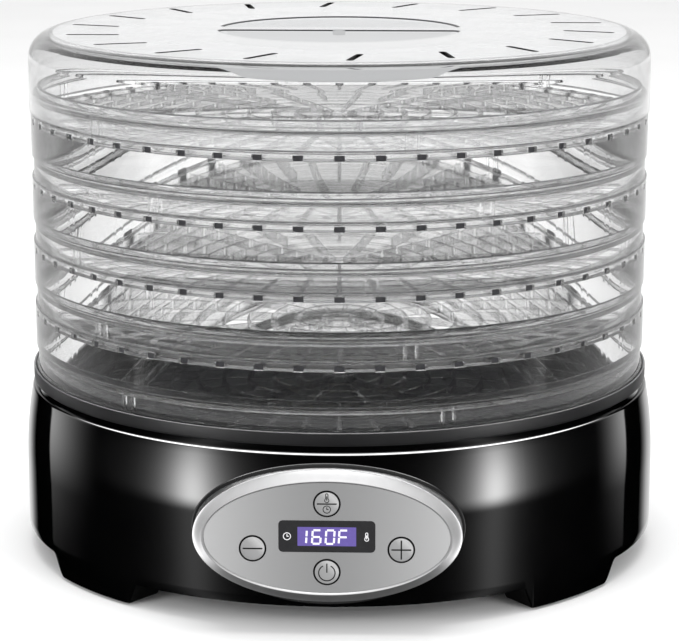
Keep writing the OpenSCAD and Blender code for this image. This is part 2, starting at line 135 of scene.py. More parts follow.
def spread(tree, value, low, high):
    """Maps a 0 to 1 value to the range low to high."""
    return add_node(tree, "MapRange", {"Value": value, "To Min": low, "To Max": high}).outputs["Result"]


def smooth(tree, value, start, end, low=0.0, high=1.0):
    """Goes smoothly from low at start to high at end."""
    inputs = {"Value": value, "From Min": start, "From Max": end, "To Min": low, "To Max": high}
    node = add_node(tree, "MapRange", inputs)
    node.interpolation_type = "SMOOTHSTEP"
    return node.outputs["Result"]


def calc(tree, operation, *values):
    """One Math node. Each value is a socket or a number."""
    node = add_node(tree, "Math", dict(enumerate(values)))
    node.operation = operation
    return node.outputs["Value"]


def total(tree, parts, operation="ADD"):
    """Several values added up, or multiplied."""
    out = parts[0]
    for part in parts[1:]:
        out = calc(tree, operation, out, part)
    return out


def ramp(tree, value, stops):
    """A colour ramp with stops of (position, colour)."""
    node = add_node(tree, "ValToRGB", {"Fac": value})
    elements = node.color_ramp.elements
    while len(elements) < len(stops):
        elements.new(0.5)
    for element, (place, colour) in zip(elements, stops):
        element.position = place
        element.color = (*colour, 1)
    return node.outputs["Color"]


def bump(tree, shader, height, strength, distance_mm):
    """Fine relief for a shader from a height of 0 to 1."""
    node = add_node(tree, "Bump", {"Height": height, "Strength": strength, "Distance": distance_mm * MM})
    feed(tree, shader, {"Normal": node.outputs["Normal"]})


# ---- materials

def grey(level, blue=None):
    """A neutral colour, or one with its own blue."""
    return level, level, level if blue is None else blue


def surface(name, dark, light, rough, scale, metallic=0.0, bump_mm=0.0, stretch=(1, 1, 1), detail=4.0,
            ior=1.5):
    """A solid surface whose colour and roughness vary with a fine noise."""
    m, tree, shader, _ = new_material(name)
    vector = object_coords(tree, stretch)
    grain = noise(tree, vector, scale, detail)
    feed(tree, shader, {"Base Color": ramp(tree, grain, [(0.3, dark), (0.7, light)]),
                        "Roughness": spread(tree, grain, *rough), "Metallic": metallic, "IOR": ior})
    if bump_mm:
        bump(tree, shader, noise(tree, vector, scale * 2.5, 2), 0.6, bump_mm)
    return m


def clear_plastic(name, tint, rough=(0.0, 0.015), straight=0.0, milky_glow=0.0, haze_glow=0.9):
    """Clear moulded plastic: refracting for the eye, and open to light so that its shadow is soft.

    straight is the share that is seen through unbent, milky the share of a painted glow for a frosted look,
    and haze the glow's paleness.
    """
    m, tree, shader, out = new_material(name)
    vector = object_coords(tree)
    uneven = noise(tree, vector, 35, 3)
    feed(tree, shader, {"Base Color": (*tint, 1), "Transmission Weight": 1.0, "IOR": 1.49,
                        "Roughness": spread(tree, uneven, *rough)})
    bump(tree, shader, noise(tree, vector, 45, 1), 0.35, 0.003)

    def clear(*colour):
        return add_node(tree, "BsdfTransparent", {"Color": (*colour, 1)}).outputs["BSDF"]

    def blend(amount, first, second):
        return add_node(tree, "MixShader", {"Fac": amount, 1: first, 2: second}).outputs["Shader"]

    seen = blend(straight, shader.outputs["BSDF"], clear(0.99, 0.99, 0.99))
    if milky_glow:
        # a painted glow, of even brightness whatever the lighting, gives the plastic its frosted look
        painted_glow = add_node(tree, "Emission", {"Color": (haze_glow, haze_glow + 0.005, haze_glow + 0.012, 1)})
        seen = blend(spread(tree, uneven, milky_glow - 0.03, milky_glow + 0.03), seen, painted_glow.outputs["Emission"])
    shadow_ray = tree.nodes.new("ShaderNodeLightPath").outputs["Is Shadow Ray"]
    feed(tree, out, {"Surface": blend(shadow_ray, seen, clear(0.93, 0.935, 0.94))})
    return m


def lit(name, colour, glow, strength):
    """A backlit surface with a fine uneven brightness."""
    m, tree, shader, _ = new_material(name)
    grain = noise(tree, object_coords(tree), 900, 2)
    shade = ramp(tree, grain, [(0.25, [c * 0.88 for c in glow]), (0.75, glow)])
    feed(tree, shader, {"Base Color": (*colour, 1), "Roughness": 0.25, "Emission Color": shade,
                        "Emission Strength": strength})
    return m


def board_material():
    """Solder mask with a faint maze of tracks under it."""
    m, tree, shader, _ = new_material("board_green")
    cells = add_node(tree, "TexVoronoi", {"Vector": object_coords(tree), "Scale": 260})
    cells.distance = "MANHATTAN"
    cells.feature = "DISTANCE_TO_EDGE"
    edge = cells.outputs["Distance"]
    tracks = ramp(tree, edge, [(0.04, (0.012, 0.11, 0.045)), (0.09, (0.03, 0.22, 0.09))])
    feed(tree, shader, {"Base Color": tracks, "Roughness": 0.35})
    bump(tree, shader, edge, 0.3, 0.05)
    return m


def silver(tree, shader, shade, stops, grain, rough):
    """A silver finish whose colour follows shade, which carries painted light, and its roughness the grain.
    """
    feed(tree, shader, {"Base Color": ramp(tree, shade, stops), "Roughness": spread(tree, grain, *rough),
                        "Metallic": 0.95})


def face_material():
    """Silver-grey film with a fine horizontal brushing, and painted light that makes it paler towards its two
    ends.
    """
    m, tree, shader, _ = new_material("silver_face")
    brush = noise(tree, object_coords(tree, (18, 18, 900)), 3, 4, 0.6)
    x = axes(tree, object_coords(tree))[0]
    # painted light: paler with the distance from the middle, standing in for the lamps at the two sides
    out = calc(tree, "DIVIDE", calc(tree, "ABSOLUTE", x), PANEL_A * MM)
    shade = calc(tree, "ADD", calc(tree, "POWER", out, 1.6), calc(tree, "MULTIPLY", brush, 0.06))
    stops = [(0.0, (0.46, 0.462, 0.465)), (0.9, (0.84, 0.842, 0.845))]
    silver(tree, shader, shade, stops, brush, (0.3, 0.36))
    return m


def button_material():
    """Silver cap with a soft painted highlight along a diagonal."""
    m, tree, shader, _ = new_material("silver_button")
    x, _, z = axes(tree, coordinates(tree, "Generated"))
    # a painted highlight: a diagonal band that brightens the cap, standing in for light falling across it
    painted_highlight = calc(tree, "MULTIPLY", calc(tree, "ADD", x, z), 0.5)
    grain = noise(tree, object_coords(tree), 1500, 3)
    shade = calc(tree, "ADD", painted_highlight, calc(tree, "MULTIPLY", grain, 0.05))
    stops = [(0.2, (0.5, 0.502, 0.505)), (0.55, (0.6, 0.602, 0.605)), (0.72, grey(0.9)), (0.95, grey(0.6))]
    silver(tree, shader, shade, stops, grain, (0.28, 0.36))
    return m


GLOSS_BLACK = surface("gloss_black", grey(0.0012, 0.0013), grey(0.0018, 0.0019), (0.03, 0.06), 60,
                      bump_mm=0.0015)
RIM_BLACK = surface("rim_black", grey(0.008, 0.0085), grey(0.012, 0.0125), (0.34, 0.42), 40, ior=1.3)
SATIN_BLACK = surface("satin_black", grey(0.012, 0.013), grey(0.02, 0.021), (0.3, 0.42), 1400,
                      bump_mm=0.02)
UNDER_BLACK = surface("under_black", grey(0.003), grey(0.006), (0.7, 0.85), 300, ior=1.05)
# black for real print, and also painted shade on the lid's vent walls and on the button caps' edges
PRINT_AND_SHADE_BLACK = surface("print_black", grey(0.003), grey(0.006), (0.5, 0.65), 2000, ior=1.2)
WINDOW_BLACK = surface("display_black", grey(0.005, 0.006), grey(0.008, 0.009), (0.05, 0.1), 300,
                       bump_mm=0.0005)
COMPONENT = surface("component_black", grey(0.015, 0.017), grey(0.03, 0.034), (0.35, 0.5), 1100,
                    bump_mm=0.02)
RUBBER = surface("foot_rubber", grey(0.018), grey(0.035, 0.034), (0.65, 0.85), 900, bump_mm=0.03)
# opaque dark grey that paints shade along the rims of the lid's pockets
EDGE_SHADE_GREY = surface("edge_grey", grey(0.03, 0.032), grey(0.05, 0.053), (0.3, 0.4), 900, ior=1.3)
# a dark surface that paints the shade seen in the notches of the trays' rings
NOTCH_SHADE = surface("notch_dark", grey(0.02, 0.022), grey(0.05, 0.055), (0.25, 0.4), 900)
STEEL = surface("screw_steel", grey(0.5, 0.52), grey(0.66, 0.68), (0.25, 0.4), 700, metallic=1.0,
                bump_mm=0.01)
SHEET_STEEL = surface("sheet_steel", (0.5, 0.51, 0.52), (0.66, 0.67, 0.68), (0.28, 0.45), 260,
                      metallic=1.0, bump_mm=0.01, stretch=(1, 1, 8))
BRONZE = surface("bearing_bronze", (0.4, 0.27, 0.12), (0.55, 0.4, 0.2), (0.35, 0.5), 1500, metallic=1.0,
                 bump_mm=0.01)
IRON = surface("rotor_iron", (0.1, 0.095, 0.09), (0.2, 0.19, 0.18), (0.45, 0.6), 300, metallic=0.9,
               stretch=(0.2, 0.2, 12), bump_mm=0.02)
FAN_PLASTIC = surface("fan_white", grey(0.62, 0.58), grey(0.72, 0.68), (0.4, 0.5), 300, bump_mm=0.01)
MICA = surface("mica", (0.42, 0.36, 0.25), (0.68, 0.62, 0.48), (0.4, 0.65), 350, bump_mm=0.03, detail=8)
HEATER_WIRE = surface("heater_wire", (0.22, 0.2, 0.19), (0.42, 0.4, 0.38), (0.35, 0.55), 900,
                      metallic=1.0)
WIRE_RED = surface("wire_red", (0.4, 0.03, 0.025), (0.5, 0.05, 0.04), (0.35, 0.45), 500, bump_mm=0.01)
SILVER_BEZEL = surface("silver_bezel", grey(0.82, 0.825), grey(0.86, 0.865), (0.26, 0.32), 240,
                       metallic=1.0)
SILVER_BUTTON = button_material()
SILVER_FACE = face_material()
BOARD = board_material()
DISPLAY_VIOLET = lit("display_violet", grey(0.01, 0.02), (0.165, 0.118, 0.44), 1.0)
DIGIT_WHITE = lit("digit_white", grey(0.2, 0.22), (0.93, 0.92, 1.0), 0.95)
ICON_WHITE = lit("icon_white", grey(0.2), grey(0.9, 0.92), 0.85)

LID_TINT = (0.996, 0.997, 0.999)
HAZY = (0.02, 0.05)
TRAY_PLASTIC = clear_plastic("clear_plastic", (0.997, 0.998, 0.999), (0.0, 0.02), straight=0.08)
# a dark tint that paints shade on the outer corners of the trays
TRAY_EDGE_SHADE = clear_plastic("clear_edge", (0.3, 0.305, 0.31), (0.0, 0.02))
FLOOR_PLASTIC = clear_plastic("clear_floor", (0.996, 0.997, 0.998), (0.0, 0.03), straight=0.55)
LID_PLASTIC = clear_plastic("clear_lid", LID_TINT)
# a dark tint that paints shade along the rounded edge of the lid's top
LID_EDGE_SHADE = clear_plastic("lid_edge", (0.4, 0.405, 0.41))
# the next three look frosted through a painted glow, which is grey on the pockets' skin and the grip bead
LID_MILKY_GLOW = clear_plastic("milky_lid", LID_TINT, HAZY, straight=0.1, milky_glow=0.42)
POCKET_MILKY_GLOW = clear_plastic("milky_pocket", LID_TINT, HAZY, straight=0.1, milky_glow=0.5, haze_glow=0.92)
SKIN_MILKY_GLOW = clear_plastic("milky_skin", LID_TINT, HAZY, milky_glow=0.75, haze_glow=0.5)


# ---- mesh helpers

def ring_at(bm, points):
    """Vertices at points in millimetres."""
    return [bm.verts.new([c * MM for c in p]) for p in points]


def join_rings(bm, a, b, material=0):
    """Quads between two closed rings with the same number of vertices."""
    count = len(a)
    faces = []
    for i in range(count):
        j = (i + 1) % count
        faces.append(bm.faces.new((a[i], a[j], b[j], b[i])))
        faces[-1].material_index = material
    return faces


def join_in_turn(bm, rings, materials=(0,)):
    """Joins each ring to the next. The last material goes on to the end."""
    for i, (a, b) in enumerate(zip(rings, rings[1:])):
        join_rings(bm, a, b, materials[min(i, len(materials) - 1)])


def join_round(bm, rings):
    """Joins each ring to the next, and the last to the first."""
    join_in_turn(bm, rings + rings[:1])


def cap_ends(bm, rings):
    """A flat face on the first ring and on the last."""
    bm.faces.new(rings[0])
    bm.faces.new(rings[-1])


def fill_between(bm, *rings):
    """Fills the flat region inside the first ring and outside the others."""
    pairs = [pair for ring in rings for pair in zip(ring, ring[1:] + ring[:1])]
    edges = [bm.edges.get(pair) or bm.edges.new(pair) for pair in pairs]
    bmesh.ops.triangle_fill(bm, use_beauty=True, use_dissolve=False, edges=edges)


def mesh_from(bm, name, materials=()):
    """Turns a bmesh into a mesh with its materials."""
    bmesh.ops.recalc_face_normals(bm, faces=bm.faces)
    mesh = bpy.data.meshes.new(name)
    bm.to_mesh(mesh)
    bm.free()
    for material in materials:
        mesh.materials.append(material)
    return mesh


def add_object(name, data):
    """Puts a mesh, a light or a camera into the scene."""
    obj = bpy.data.objects.new(name, data)
    bpy.context.scene.collection.objects.link(obj)
    return obj


def smooth_shading(mesh, sharp):
    """Smooth shading, with edges steeper than an angle in degrees kept sharp."""
    mesh.shade_smooth()
    mesh.set_sharp_from_angle(angle=math.radians(sharp))


def add_piece(mesh, name, body, slot, replaces=(), sharp=35, place=(0, 0, 0)):
    """A smooth shaded piece that rides on a body, at a place in millimetres."""
    smooth_shading(mesh, sharp)
    obj = add_object(name, mesh)
    obj.matrix_world = Matrix.Translation([c * MM for c in place])
    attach(obj, body)
    if replaces:
        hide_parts(*replaces)
    return obj


def finish_piece(bm, name, materials, body, slot, replaces=(), **options):
    """A piece made straight from a bmesh."""
    return add_piece(mesh_from(bm, name, materials), name, body, slot, replaces, **options)


def polar(r, degrees):
    """x and y of a point at a radius and an angle."""
    a = math.radians(degrees)
    return r * math.cos(a), r * math.sin(a)


def arc_points(cx, cy, r, a0, a1, n):
    """n steps along an arc from angle a0 to a1."""
    offsets = [polar(r, a0 + (a1 - a0) * i / n) for i in range(n + 1)]
    return [(cx + x, cy + y) for x, y in offsets]


def rounded(outline, steps=3):
    """A closed outline of (x, y, radius) with every corner rounded."""
    out = []
    corners = [Vector(point[:2]) for point in outline]
    for i, (_, _, r) in enumerate(outline):
        p = corners[i]
        before, after = corners[i - 1] - p, corners[(i + 1) % len(corners)] - p
        angle = before.angle(after)
        reach = min(r / math.tan(angle / 2), before.length * 0.45, after.length * 0.45)
        if r == 0 or math.pi - angle < math.radians(6):
            out.append(tuple(p))
            continue
        start, end = p + before.normalized() * reach, p + after.normalized() * reach
        for k in range(steps + 1):
            t = k / steps
            out.append(tuple((1 - t) ** 2 * start + 2 * t * (1 - t) * p + t * t * end))
    return out


def spin(bm, profile, count):
    """A solid of revolution about Z from a closed profile of (radius, z)."""
    turns = [polar(1, 360 * i / count) for i in range(count)]
    rings = [ring_at(bm, [(r * x, r * y, z) for x, y in turns]) for r, z in profile]
    join_round(bm, rings)
    return rings


# ---- trays

# heights are from the tray's seat, where its ring begins
TRAY_RING_H = 5.0
SHOULDER = 15.3
LIP_R = 151.3
LIP_TOP = 18.6
FLOOR_LOW, FLOOR_HIGH = 0.7, 3.0


def tray_angles():
    """Angles round a tray, close together at the two sides of each notch, and which are in a notch."""
    half, side = 0.87, 0.03
    steps = []
    for k in range(NOTCHES):
        c = k * NOTCH_STEP
        steps += [(c - half - side, False), (c - half + side, True), (c, True), (c + half - side, True),
                  (c + half + side, False)]
        steps += [(c + half + (NOTCH_STEP - 2 * half) * t, False) for t in (0.25, 0.5, 0.75)]
    return steps


def tray_wall(bm):
    """Skirt, notched ring, wall and nesting lip as one closed shell."""
    wall, inner = 154.0, 152.2
    outline = [(TRAY_R, -SKIRT_H, 0.5), (TRAY_R, 0.3, 0), (TRAY_R, 0.32, 0), (TRAY_R, 3.05, 0),
               (TRAY_R, 3.07, 0), (TRAY_R, TRAY_RING_H, 0.6), (wall, TRAY_RING_H, 0.5),
               (wall, SHOULDER, 0.5), (LIP_R, SHOULDER, 0.35), (LIP_R, LIP_TOP, 0.7),
               (LIP_R - 1.8, LIP_TOP, 0.7), (LIP_R - 1.8, SHOULDER - 2.0, 0.8),
               (inner, SHOULDER - 3.4, 0.8), (inner, 3.6, 0.5), (148.6, 3.0, 0.3),
               (148.6, FLOOR_LOW, 0.3), (TRAY_R - 2.0, 0.6, 0.6), (TRAY_R - 2.0, -SKIRT_H, 0.5)]
    profile = rounded(outline)
    steps = tray_angles()
    notch_rows = [i for i, (r, z) in enumerate(profile) if r > TRAY_R - 0.01 and 0.31 < z < 3.06]
    rings = []
    for i, (r, z) in enumerate(profile):
        deep = r - 1.5 if i in notch_rows else r
        rings.append(ring_at(bm, [(*polar(deep if notched else r, angle), z) for angle, notched in steps]))
    # the outer corners get painted shade from a dark tint, standing in for the dark lines along the edges of
    # clear mouldings
    corners = ((TRAY_R, TRAY_RING_H), (TRAY_R, -SKIRT_H), (LIP_R, LIP_TOP))
    near = [any(math.dist(p, c) < 0.75 for c in corners) for p in profile]
    for i, (a, b) in enumerate(zip(rings, rings[1:] + rings[:1])):
        faces = join_rings(bm, a, b, 3 if near[i] and near[(i + 1) % len(near)] else 0)
        # the faces inside a notch get painted shade
        if i in notch_rows and (i + 1) in notch_rows:
            for face, (_, notched), (_, then) in zip(faces, steps, steps[1:] + steps[:1]):
                face.material_index = 1 if notched and then else 0


def tray_floor(bm):
    """A flat grid of spokes and round ribs, joined cell by cell so that it is one closed shell."""
    # every other row of cells is a round rib, from the hub to the outer edge
    ribs = (22, 34, 46, 59, 72, 85, 98, 111, 124, 137)
    edges_r = [6.0, 9.0] + [r + side for r in ribs for side in (-0.8, 0.8)] + [146.6, 149.6]
    # every third column of cells is a spoke, below a notch
    edges_a = [k * NOTCH_STEP + side for k in range(NOTCHES) for side in (-0.5, 0.5, NOTCH_STEP / 2)]
    rows, columns = len(edges_r) - 1, len(edges_a)

    def solid(i, j):
        if not 0 <= i < rows:
            return False
        every = 1 if edges_r[i] > 97 else 2 if edges_r[i] > 47 else 4
        return i % 2 == 0 or (j % 3 == 0 and j % columns // 3 % every == 0)

    corners = {}

    def corner(i, j, z):
        key = (i, j % columns, z)
        if key not in corners:
            a = math.radians(edges_a[j % columns])
            r = edges_r[i]
            # inner spokes keep their width by leaning their sides outwards
            if r < 97 and j % 3 != 2:
                c = math.radians(j % columns // 3 * NOTCH_STEP)
                a = c + (a - c) * min(97 / max(r, 20), 2.2)
            corners[key] = bm.verts.new((r * math.cos(a) * MM, r * math.sin(a) * MM, z * MM))
        return corners[key]

    for i in range(rows):
        for j in range(columns):
            if not solid(i, j):
                continue
            for z in (FLOOR_LOW, FLOOR_HIGH):
                bm.faces.new([corner(i, j, z), corner(i + 1, j, z), corner(i + 1, j + 1, z),
                              corner(i, j + 1, z)])
            for ni, nj, p, q in ((i - 1, j, (i, j), (i, j + 1)), (i + 1, j, (i + 1, j), (i + 1, j + 1)),
                                 (i, j - 1, (i, j), (i + 1, j)), (i, j + 1, (i, j + 1), (i + 1, j + 1))):
                if not solid(ni, nj):
                    bm.faces.new([corner(*p, FLOOR_LOW), corner(*q, FLOOR_LOW), corner(*q, FLOOR_HIGH),
                                  corner(*p, FLOOR_HIGH)])


def tray_ribs(bm):
    """Pairs of upright ribs on the inside of the wall."""
    r0, r1, w = 150.6, 152.6, 0.55
    for k in range(6):
        for side in (-1, 1):
            turn = Matrix.Rotation(math.radians(60 * k + 42.4 + side * 1.05), 4, "Z")
            ends = []
            for inner_z, outer_z in ((3, 3), (12.6, 13.4)):
                corners = ((r0, -w, inner_z), (r1, -w, outer_z), (r1, w, outer_z), (r0, w, inner_z))
                ends.append(ring_at(bm, [turn @ Vector(p) for p in corners]))
            join_rings(bm, *ends)
            cap_ends(bm, ends)


def tray_mesh():
    bm = bmesh.new()
    tray_floor(bm)
    for face in bm.faces:
        face.material_index = 2
    tray_wall(bm)
    tray_ribs(bm)
    return mesh_from(bm, "tray_moulding", [TRAY_PLASTIC, NOTCH_SHADE, FLOOR_PLASTIC, TRAY_EDGE_SHADE])


# each tray's body, and how many notches it is turned by
TRAY_BODIES = {"tray_5": ("lowest_tray", 1), "tray_4": ("fourth_tray", 0), "tray_3": ("middle_tray", -1),
               "tray_2": ("second_tray", 2), "tray_1": ("top_tray", 0)}


def build_trays():
    first = tray_mesh()
    for node, (body, notches) in TRAY_BODIES.items():
        seat = mm_box(node + "_wall")[0][2] + SKIRT_H
        mesh = first.copy()
        mesh.transform(Matrix.Rotation(math.radians(notches * NOTCH_STEP + 2), 4, "Z"))
        add_piece(mesh, node + "_moulding", body, "clear_plastic", [node + "_wall", node + "_floor"],
                  place=(0, 0, seat))
    bpy.data.meshes.remove(first)


# ---- lid

LID_ROUND = 12.5
LID_THICK = 2.0
LID_WALL = 1.3
FLAT_R = LID_R - LID_ROUND
DISH_R, DISH_FLOOR_R, DISH_DEPTH = 60.5, 47.5, 16.4
GRIP_HALF = 6.75
VENTS = 18


def half_moon(side, r, w, corner):
    """A closed outline: a round edge of radius r, cut off straight at w from the middle."""
    cx = math.sqrt((r - corner) ** 2 - (w + corner) ** 2)
    lean = math.degrees(math.atan2(w + corner, cx))
    points = arc_points(0, 0, r, lean, 180 - lean, 64)
    points += arc_points(-cx, w + corner, corner, 180 - lean, 270, 8)[1:]
    points += [(-cx + 2 * cx * i / 24, w) for i in range(1, 24)]
    points += arc_points(cx, w + corner, corner, 270, 360 + lean, 8)[:-1]
    return [(x, side * y) for x, y in points]


def vent_outline(angle, grow=0.0):
    """A slot with round ends, skewed from the radius."""
    half, w = 11.4, 1.2 + grow
    end = arc_points(half, 0, w, -90, 90, 6) + arc_points(-half, 0, w, 90, 270, 6)
    lean = Matrix.Rotation(math.radians(angle - 15), 2)
    centre = Vector(polar(124.5, angle))
    return [tuple(centre + lean @ Vector(p)) for p in end]


def stack(bm, outlines, *materials):
    """Rings from a list of (outline, z), joined one after another."""
    rings = [ring_at(bm, [(x, y, z) for x, y in outline]) for outline, z in outlines]
    join_in_turn(bm, rings, materials)
    return rings


# the rings below give their faces' places in this list
LID_MATERIALS = (LID_MILKY_GLOW, PRINT_AND_SHADE_BLACK, LID_PLASTIC, EDGE_SHADE_GREY, POCKET_MILKY_GLOW, SKIN_MILKY_GLOW, LID_EDGE_SHADE)


def lid_shell(bm):
    """The lid without its flat faces, from the top's outer edge round the foot to the underside's."""
    shoulder = LID_TOP - LID_ROUND
    wall = LID_R - LID_WALL
    outer = arc_points(FLAT_R, shoulder, LID_ROUND, 90, 0, 16)
    sides = [(LID_R, shoulder - 8), (LID_R, LID_BOTTOM + 6), (LID_R, LID_BOTTOM + 0.4),
             (LID_R - 0.35, LID_BOTTOM), (wall + 0.35, LID_BOTTOM), (wall, LID_BOTTOM + 0.4),
             (wall, LID_BOTTOM + 6), (wall, shoulder - 8)]
    inner = arc_points(FLAT_R, shoulder, LID_ROUND - 1.6, 0, 90, 16)
    inner = [(r, z - (LID_THICK - 1.6) * i / 16) for i, (r, z) in enumerate(inner)]
    circle = [polar(1, 360 * i / 288) for i in range(288)]
    profile = outer + sides + inner
    # the first two bands round the top's edge get painted shade from a dark tint
    return stack(bm, [([(r * x, r * y) for x, y in circle], z) for r, z in profile], 6, 6, 2)


def lid_pocket(bm, side):
    """One finger pocket. Returns its rings in the lid's top and underside."""
    top, under = LID_TOP, LID_TOP - LID_THICK
    taper = DISH_FLOOR_R - DISH_R
    inside = [(1.0, -0.8, 4.4, 0), (0.45, -0.35, 4.1, 0.15), (0, 0, 3.8, 0.7)]
    inside += [(taper * t, 0.4 * t, 3.8, DISH_DEPTH * t) for t in (0.2, 0.4, 0.6, 0.8, 0.9)]
    inside += [(taper - 0.2, 0.7, 3.4, DISH_DEPTH - 0.5), (taper - 1.4, 1.6, 2.6, DISH_DEPTH)]
    skin = [(1.8, -1.9, 5.2, 0), (1.4, -1.6, 5.0, 0.5)]
    skin += [(1.9 + taper * t, 0.4 * t - 1.5, 5.0, DISH_DEPTH * t) for t in (0.3, 0.6, 0.9)]
    skin += [(taper + 1.4, -0.6, 4.4, DISH_DEPTH - 0.4), (taper + 0.2, 0.4, 3.6, DISH_DEPTH)]
    mouths = []
    # each pocket's rim gets painted shade in dark grey, and its walls and skin a painted glow
    for shape, z, materials in ((inside, top, (3, 3, 4)), (skin, under, (5,))):
        outlines = [(half_moon(side, DISH_R + grow, GRIP_HALF + bar, corner), z - deep)
                    for grow, bar, corner, deep in shape]
        rings = stack(bm, outlines, *materials)
        bm.faces.new(rings[-1]).material_index = materials[-1]
        mouths.append(rings[0])
    return mouths


def build_lid():
    bm = bmesh.new()
    top, under = LID_TOP, LID_TOP - LID_THICK
    shell = lid_shell(bm)
    mouths = []
    for i in range(VENTS):
        angle = 360 * i / VENTS - 4.8
        # the slot walls get painted shade in black
        rings = stack(bm, [(vent_outline(angle, 0.6), top), (vent_outline(angle), top - 0.3),
                           (vent_outline(angle), under + 0.3), (vent_outline(angle, 0.25), under)], 1)
        mouths.append((rings[0], rings[-1]))
    mouths += [lid_pocket(bm, side) for side in (-1, 1)]
    for edge, holes in zip((shell[0], shell[-1]), zip(*mouths)):
        fill_between(bm, edge, *holes)
    finish_piece(bm, "lid_moulding", LID_MATERIALS, "vented_lid", "clear_lid", ["lid"], sharp=40)


def build_grip_bead():
    """The small round bead at the front of the grip bar."""
    bm = bmesh.new()
    profile = [(0.02, -0.06), (2.6, -0.08), (3.2, -0.2), (3.4, -0.5), (3.4, -2.2), (3.1, -2.5), (0.02, -2.6)]
    spin(bm, [(r, LID_TOP + z) for r, z in profile], 48)
    finish_piece(bm, "grip_bead", [SKIN_MILKY_GLOW], "vented_lid", "clear_lid", place=(0, 1.2 - GRIP_HALF, 0))


# ---- drum base

# a foot's two ends, from the front: where each leaves the ground and where it meets the drum's lower edge
FOOT_INNER = (36.7, 35.0)
FOOT_OUTER = (55.3, 59.5)

# the side is upright as far as SIDE_Z, and then one wide arc in to the crease
SIDE_Z = 46.0
ARC_RISE, ARC_RUN = CREASE_Z - 0.9 - SIDE_Z, 3.6
ARC_R = (ARC_RISE ** 2 + ARC_RUN ** 2) / (2 * ARC_RUN)


def from_middle(angle):
    """How far an angle is from the front or the back, whichever is nearer."""
    a = abs((angle + 180) % 360 - 180)
    return min(a, 180 - a)


def foot_edge(angle):
    """Height of the drum's lower edge at an angle from the front, in degrees."""
    a = from_middle(angle)
    inner = (a - FOOT_INNER[1]) / (FOOT_INNER[0] - FOOT_INNER[1])
    outer = (FOOT_OUTER[1] - a) / (FOOT_OUTER[1] - FOOT_OUTER[0])
    s, t = (min(max(part, 0), 1) for part in (inner, outer))
    return ARCH_Z + (FOOT_Z - ARCH_Z) * s * t * t * (3 - 2 * t)


def drum_angles():
    """Angles round the drum, close together at the ends of the feet."""
    steps = []
    for i in range(600):
        angle = i * 0.6
        a = from_middle(angle)
        fine = 34.3 < a < 37.5 or 54.5 < a < 60.2
        steps += [angle + k * 0.1 for k in range(6)] if fine else [angle]
    return steps


def drum_profile():
    """The cross-section above the feet as (point, material): outside up to the rim, then down the inside."""
    tilt = math.degrees(math.asin(ARC_RISE / ARC_R)) * 0.985
    outside = [(DRUM_R, 16), (DRUM_R, 30)] + arc_points(DRUM_R - ARC_R, SIDE_Z, ARC_R, 0, tilt, 14)
    x, z = polar(1.8, tilt)
    crease = arc_points(outside[-1][0] - x, outside[-1][1] - z, 1.8, tilt, 72, 9)[1:]
    crease.append((155.9, CREASE_Z - 0.1))
    foot = [(155.9, -0.3), (156.0, -0.1), (156.35, 0), (156.55, 0.2), (156.6, 0.6)]
    top = [(156.6, -0.6), (156.52, -0.25), (156.3, -0.05), (155.9, 0), (155.5, -0.1), (155.4, -0.35)]
    rim = [(r, GROOVE_TOP + z) for r, z in foot] + [(r, RIM_TOP + z) for r, z in top]
    well = [(155.4, 80), (155.4, 70.2), (150.5, 70.2), (150.5, 68.0)]
    inside = [(156.2, 66.0), (158.5, 48.0), (158.6, 16.0), (133.0, 15.9), (133.0, 13.7), (140.0, 13.7)]
    return [(p, 0) for p in outside + crease] + [(p, 1) for p in rim] + [(p, 0) for p in well + inside]


def build_housing():
    bm = bmesh.new()
    directions = [(a, *polar(1, a - 90)) for a in drum_angles()]
    profile = drum_profile()

    def ring(r, height):
        return ring_at(bm, [(r * x, r * y, height(a)) for a, x, y in directions])

    rings = [ring(r, lambda a, lift=lift: foot_edge(a) + lift) for r, lift in
             ((140.0, 0.5), (140.5, 0), (DRUM_R - 0.7, 0), (DRUM_R - 0.2, 0.2), (DRUM_R, 0.75))]
    rings += [ring(r, lambda a, z=z: z) for (r, z), _ in profile]
    materials = [2, 2, 0, 0, 0] + [material for _, material in profile]
    for a, b, material in zip(rings, rings[1:] + rings[:1], materials):
        join_rings(bm, a, b, material)
    drum = finish_piece(bm, "drum_housing", [GLOSS_BLACK, RIM_BLACK, UNDER_BLACK], "base", "gloss_black",
                        ["base_housing"], sharp=38)
    cut_openings(drum)


def oval(a, b, count=160):
    turns = [polar(1, 360 * i / count) for i in range(count)]
    return [(a * x, b * y) for x, y in turns]


def drum_y(x, z, grow=0.0):
    """Where the drum's front surface is at x and z, grown outwards."""
    r = DRUM_R if z < SIDE_Z else DRUM_R - ARC_R + math.sqrt(ARC_R ** 2 - (z - SIDE_Z) ** 2)
    return -math.sqrt((r + grow) ** 2 - x * x)


